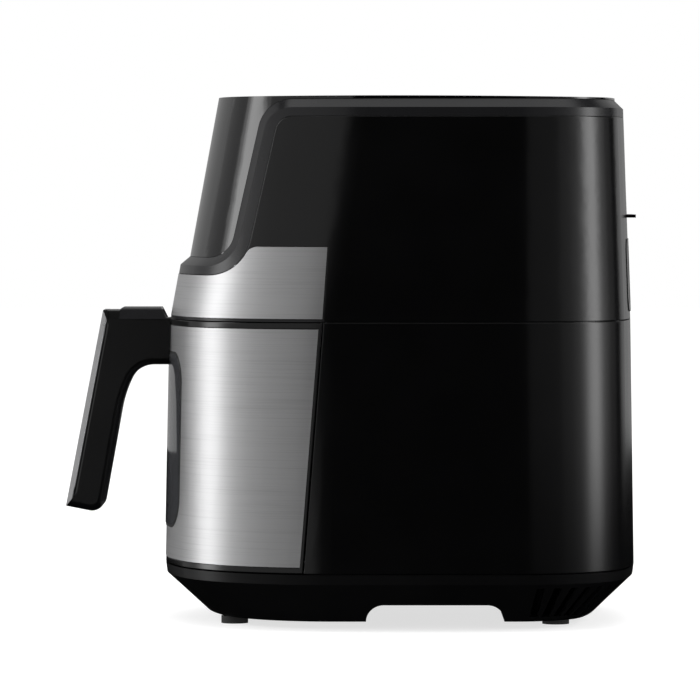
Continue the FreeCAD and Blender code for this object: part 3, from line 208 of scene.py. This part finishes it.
def nonstick(name="nonstick"):
    """Dark coating with pale speckles."""
    material, shader, add, link = new_material(name)
    space = place_texture(add, link, (1.0, 1.0, 1.0))
    speck = add("ShaderNodeTexVoronoi", Scale=420.0)
    link(space, speck.inputs["Vector"])
    pale, dark = (0.16, 0.16, 0.155), (0.022, 0.022, 0.023)
    colours = two_colours(add, link, speck.outputs["Distance"], pale, dark, 0.08, 0.14)
    link(colours, shader.inputs["Base Color"])
    grain = noise(add, link, space, 900.0, 3.0)
    link(ramp(add, link, grain, 0.34, 0.46), shader.inputs["Roughness"])
    bump(add, link, shader, grain, 0.15, 0.0001)
    return material


def glass(name, tint, transmission, rough):
    """Tinted glass with faint smears."""
    material, shader, add, link = new_material(name)
    smear = noise(add, link, place_texture(add, link, (1.0, 1.0, 1.0)), 30.0, 4.0)
    link(two_colours(add, link, smear, tint, tuple(c * 1.25 for c in tint)), shader.inputs["Base Color"])
    link(ramp(add, link, smear, rough, rough * 1.6), shader.inputs["Roughness"])
    set_shader(shader, transmission=transmission, ior=1.5)
    return material


def circuit_board(name="circuit_board"):
    """Green board with a pattern of paler tracks."""
    material, shader, add, link = new_material(name)
    tracks = add("ShaderNodeTexBrick", Scale=90.0)
    link(place_texture(add, link, (1.0, 1.0, 1.0)), tracks.inputs["Vector"])
    tracks.inputs["Color1"].default_value = (0.010, 0.085, 0.035, 1)
    tracks.inputs["Color2"].default_value = (0.014, 0.10, 0.042, 1)
    tracks.inputs["Mortar"].default_value = (0.05, 0.17, 0.06, 1)
    link(tracks.outputs["Color"], shader.inputs["Base Color"])
    set_shader(shader, roughness=0.4)
    bump(add, link, shader, tracks.outputs["Fac"], 0.2, 0.0002)
    return material


def assign(material, *names):
    """Gives one material to the named CAD nodes."""
    for name in names:
        mesh = NODES[name].data
        mesh.materials.clear()
        mesh.materials.append(material)


def dress_nodes():
    """Gives every CAD node its material."""
    assign(gloss_black(), "lower_shell", "upper_shell", "drawer_front", "rear_outlet", "rear_spacer")
    base_dark, base_light = (0.0016, 0.0016, 0.0018), (0.0024, 0.0024, 0.0027)
    base = plastic("base_black", base_dark, base_light, 0.30, 0.38, specular=0.24)
    assign(base, "base_tray")
    assign(satin_grey(), "bezel_frame", "seam_trim", "window_frame", "release_latch")
    assign(panel_black(), "control_panel")
    assign(brushed_steel(), "upper_steel_band", "drawer_steel_panel")
    assign(grip_black(), "handle_body", "release_button")
    # the guard's tone, far lighter than the grip's, is painted light falling on it from above
    assign(plastic("guard_painted_light", (0.012, 0.012, 0.013), (0.015, 0.015, 0.016), 0.14, 0.20), "release_guard")
    trim_dark, trim_light = (0.44, 0.44, 0.445), (0.50, 0.50, 0.505)
    trim = metal("trim_grey", trim_dark, trim_light, 0.26, 0.34, (30.0, 30.0, 30.0), 0.02, 0.5)
    assign(trim, "handle_trim")
    assign(rubber(), "rubber_feet", "window_gasket", "cord_gland", "crisper_bumpers")
    assign(glass("smoked_glass", (0.055, 0.056, 0.06), 0.55, 0.03), "window_glass")
    assign(glass("clear_glass", (0.9, 0.93, 0.92), 1.0, 0.02), "inner_pane")
    assign(nonstick(), "drawer_pan", "crisper_plate")
    sheet = metal("sheet_steel", (0.42, 0.43, 0.44), (0.58, 0.59, 0.60), 0.25, 0.42, (40.0, 40.0, 40.0), 0.08)
    assign(sheet, "chamber_liner", "chamber_ceiling", "drawer_rails", "heat_shield")
    assign(sheet, "motor_bracket", "pan_catch")
    wire = metal("plated_wire", (0.55, 0.55, 0.56), (0.7, 0.7, 0.71), 0.15, 0.25, (200.0, 200.0, 200.0), 0.05)
    assign(wire, "element_guard", "motor_shaft", "latch_pin", "button_spring", "handle_screws", "base_screws")
    oxide_dark, oxide_light = (0.05, 0.045, 0.045), (0.12, 0.105, 0.10)
    oxide = metal("oxidised_tube", oxide_dark, oxide_light, 0.4, 0.6, (150.0, 150.0, 150.0), 0.2)
    assign(oxide, "heating_element")
    assign(metal("fan_alloy", (0.5, 0.51, 0.52), (0.66, 0.67, 0.68), 0.25, 0.4), "hot_air_fan", "cooling_fan")
    stack_dark, stack_light = (0.05, 0.05, 0.055), (0.10, 0.10, 0.11)
    stack = metal("lacquered_stack", stack_dark, stack_light, 0.35, 0.5, (2.0, 2.0, 900.0), 0.4)
    assign(stack, "fan_motor", "motor_rotor", "drawer_magnet")
    assign(metal("bronze", (0.35, 0.20, 0.08), (0.5, 0.3, 0.13), 0.3, 0.45), "lower_bearing", "upper_bearing")
    assign(circuit_board(), "power_board", "panel_board")
    white = plastic("white_part", (0.6, 0.6, 0.57), (0.7, 0.7, 0.67), 0.4, 0.5)
    assign(white, "thermal_cutout", "reed_switch")


# ---------------------------------------------------------------- refined pieces
def polished(name="polished_bead"):
    """Bright metal of the bead."""
    return metal(name, (0.78, 0.78, 0.79), (0.86, 0.86, 0.87), 0.12, 0.20, (80.0, 80.0, 80.0), 0.02)


def tapered_bead(name, start, end, radius, material, sides=10, stations=14):
    """A thin round bead between two points whose ends taper off."""
    along = (end - start).normalized()
    across = Vector((1, 0, 0))
    out = along.cross(across)
    build = bmesh.new()
    rings = []
    for station in range(stations + 1):
        part = station / stations
        taper = min(1.0, TAPER_RATE * part + BEAD_TIP, TAPER_RATE * (1 - part) + BEAD_TIP)
        centre = start.lerp(end, part)
        ring = []
        for step in range(sides):
            turn = math.tau * step / sides
            reach = (across * math.cos(turn) + out * math.sin(turn)) * radius * taper
            ring.append(build.verts.new(centre + reach))
        rings.append(ring)
    for here, there in zip(rings, rings[1:]):
        for step in range(sides):
            after = (step + 1) % sides
            build.faces.new((here[step], here[after], there[after], there[step]))
    build.faces.new(rings[0][::-1])
    build.faces.new(rings[-1])
    bmesh.ops.recalc_face_normals(build, faces=build.faces)
    mesh = bpy.data.meshes.new(name)
    build.to_mesh(mesh)
    build.free()
    for face in mesh.polygons:
        face.use_smooth = len(face.vertices) == 4
    mesh.materials.append(material)
    bead = bpy.data.objects.new(name, mesh)
    bpy.context.scene.collection.objects.link(bead)
    return bead


def add_trim_beads():
    """A fine polished bead in the groove between the trim strip and the grip, on both sides."""
    points = [v.co for v in NODES["handle_trim"].data.vertices]
    middle = (min(p.z for p in points) + max(p.z for p in points)) / 2
    high = max((p for p in points if p.z > middle), key=lambda p: p.y)
    low = max((p for p in points if p.z < middle), key=lambda p: p.y)
    reach = max(p.x for p in points) - BEAD_INSET
    material = polished()
    for side, label in ((1, "left"), (-1, "right")):
        start = Vector((side * reach, low.y - BEAD_SEAT, low.z))
        end = Vector((side * reach, high.y - BEAD_SEAT, high.z))
        bead = tapered_bead(f"trim_bead_{label}", start, end, BEAD_RADIUS, material)
        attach(bead, "drawer")


# ---------------------------------------------------------------- stage
def rectangle_light(name, place, width, height, power):
    """A rectangular lamp that the camera itself doesn't see."""
    data = bpy.data.lights.new(name, "AREA")
    data.shape = "RECTANGLE"
    data.size, data.size_y = width, height
    data.energy = power
    light = bpy.data.objects.new(name, data)
    light.location = place
    light.visible_camera = False
    bpy.context.scene.collection.objects.link(light)
    return light


def soft_box(name, angle, half_angle, radiance, low=LIGHT_FOOT):
    """An upright light on a circle round the object: angle from +X, half its spread, how bright it looks."""
    turn = math.radians(angle)
    width = 2 * LIGHT_CIRCLE * math.tan(math.radians(half_angle))
    height = LIGHT_HEAD - low
    place = (LIGHT_CIRCLE * math.cos(turn), LIGHT_CIRCLE * math.sin(turn), (low + LIGHT_HEAD) / 2)
    light = rectangle_light(name, place, width, height, radiance * math.pi * width * height)
    inward = Vector((-math.cos(turn), -math.sin(turn), 0))
    light.rotation_euler = inward.to_track_quat("-Z", "Y").to_euler()


def make_floor():
    """A pale floor that reaches far enough to fill every view."""
    mesh = bpy.data.meshes.new("floor")
    build = bmesh.new()
    steps = 64
    ring = [math.tau * step / steps for step in range(steps)]
    corners = [(FLOOR_REACH * math.cos(a), FLOOR_REACH * math.sin(a), 0.0) for a in ring]
    build.faces.new([build.verts.new(corner) for corner in corners])
    build.to_mesh(mesh)
    build.free()
    floor = bpy.data.objects.new("floor", mesh)
    bpy.context.scene.collection.objects.link(floor)
    material = plastic("pale_floor", (0.37, 0.37, 0.37), (0.39, 0.39, 0.39), 0.85, 0.95, specular=0.0)
    set_shader(material.node_tree.nodes["Principled BSDF"], glow_colour=(1, 1, 1, 1), glow=FLOOR_GLOW)
    mesh.materials.append(material)
    floor.visible_glossy = False
    floor.visible_diffuse = False
    floor.visible_shadow = False


def make_world():
    """Even white light on matt surfaces; the gloss shows only the lights."""
    world = bpy.data.worlds.new("studio")
    world.use_nodes = True
    background = world.node_tree.nodes["Background"]
    background.inputs["Color"].default_value = (1, 1, 1, 1)
    background.inputs["Strength"].default_value = 1.0
    world.cycles_visibility.glossy = False
    bpy.context.scene.world = world


def make_lights():
    """A narrow light at each side, each with a soft edge made of wider and dimmer ones, and dim fills."""
    for number, (half, radiance) in enumerate(LEFT_CORE, 1):
        soft_box(f"left_core_{number}", LEFT_CORE_ANGLE, half, radiance, LOW_FOOT)
    soft_box("left_rear", -121, 17, 0.30, LOW_FOOT)
    soft_box("left_front", -48, 37, 0.42, LOW_FOOT)
    for number, (half, radiance) in enumerate(RIGHT_CORE, 1):
        soft_box(f"right_core_{number}", RIGHT_CORE_ANGLE, half, radiance)
    soft_box("right_wide", 62, 48, 0.15)
    soft_box("behind", 180, 42, 0.35)
    rectangle_light("overhead", (0, 0, 2.6), 3.0, 3.0, 28)


def make_camera():
    """Level with the top of the body, far away, square to the side."""
    data = bpy.data.cameras.new("camera")
    data.sensor_width = 36.0
    data.lens = CAMERA_LENS
    camera = bpy.data.objects.new("camera", data)
    camera.location = CAMERA_PLACE
    aim = Vector(CAMERA_AIM) - camera.location
    camera.rotation_euler = aim.to_track_quat("-Z", "Y").to_euler()
    bpy.context.scene.collection.objects.link(camera)
    bpy.context.scene.camera = camera


def make_stage():
    """Floor, world, lights and camera."""
    make_floor()
    make_world()
    make_lights()
    make_camera()
    bpy.context.scene.view_settings.view_transform = "Standard"


dress_nodes()
add_trim_beads()
make_stage()
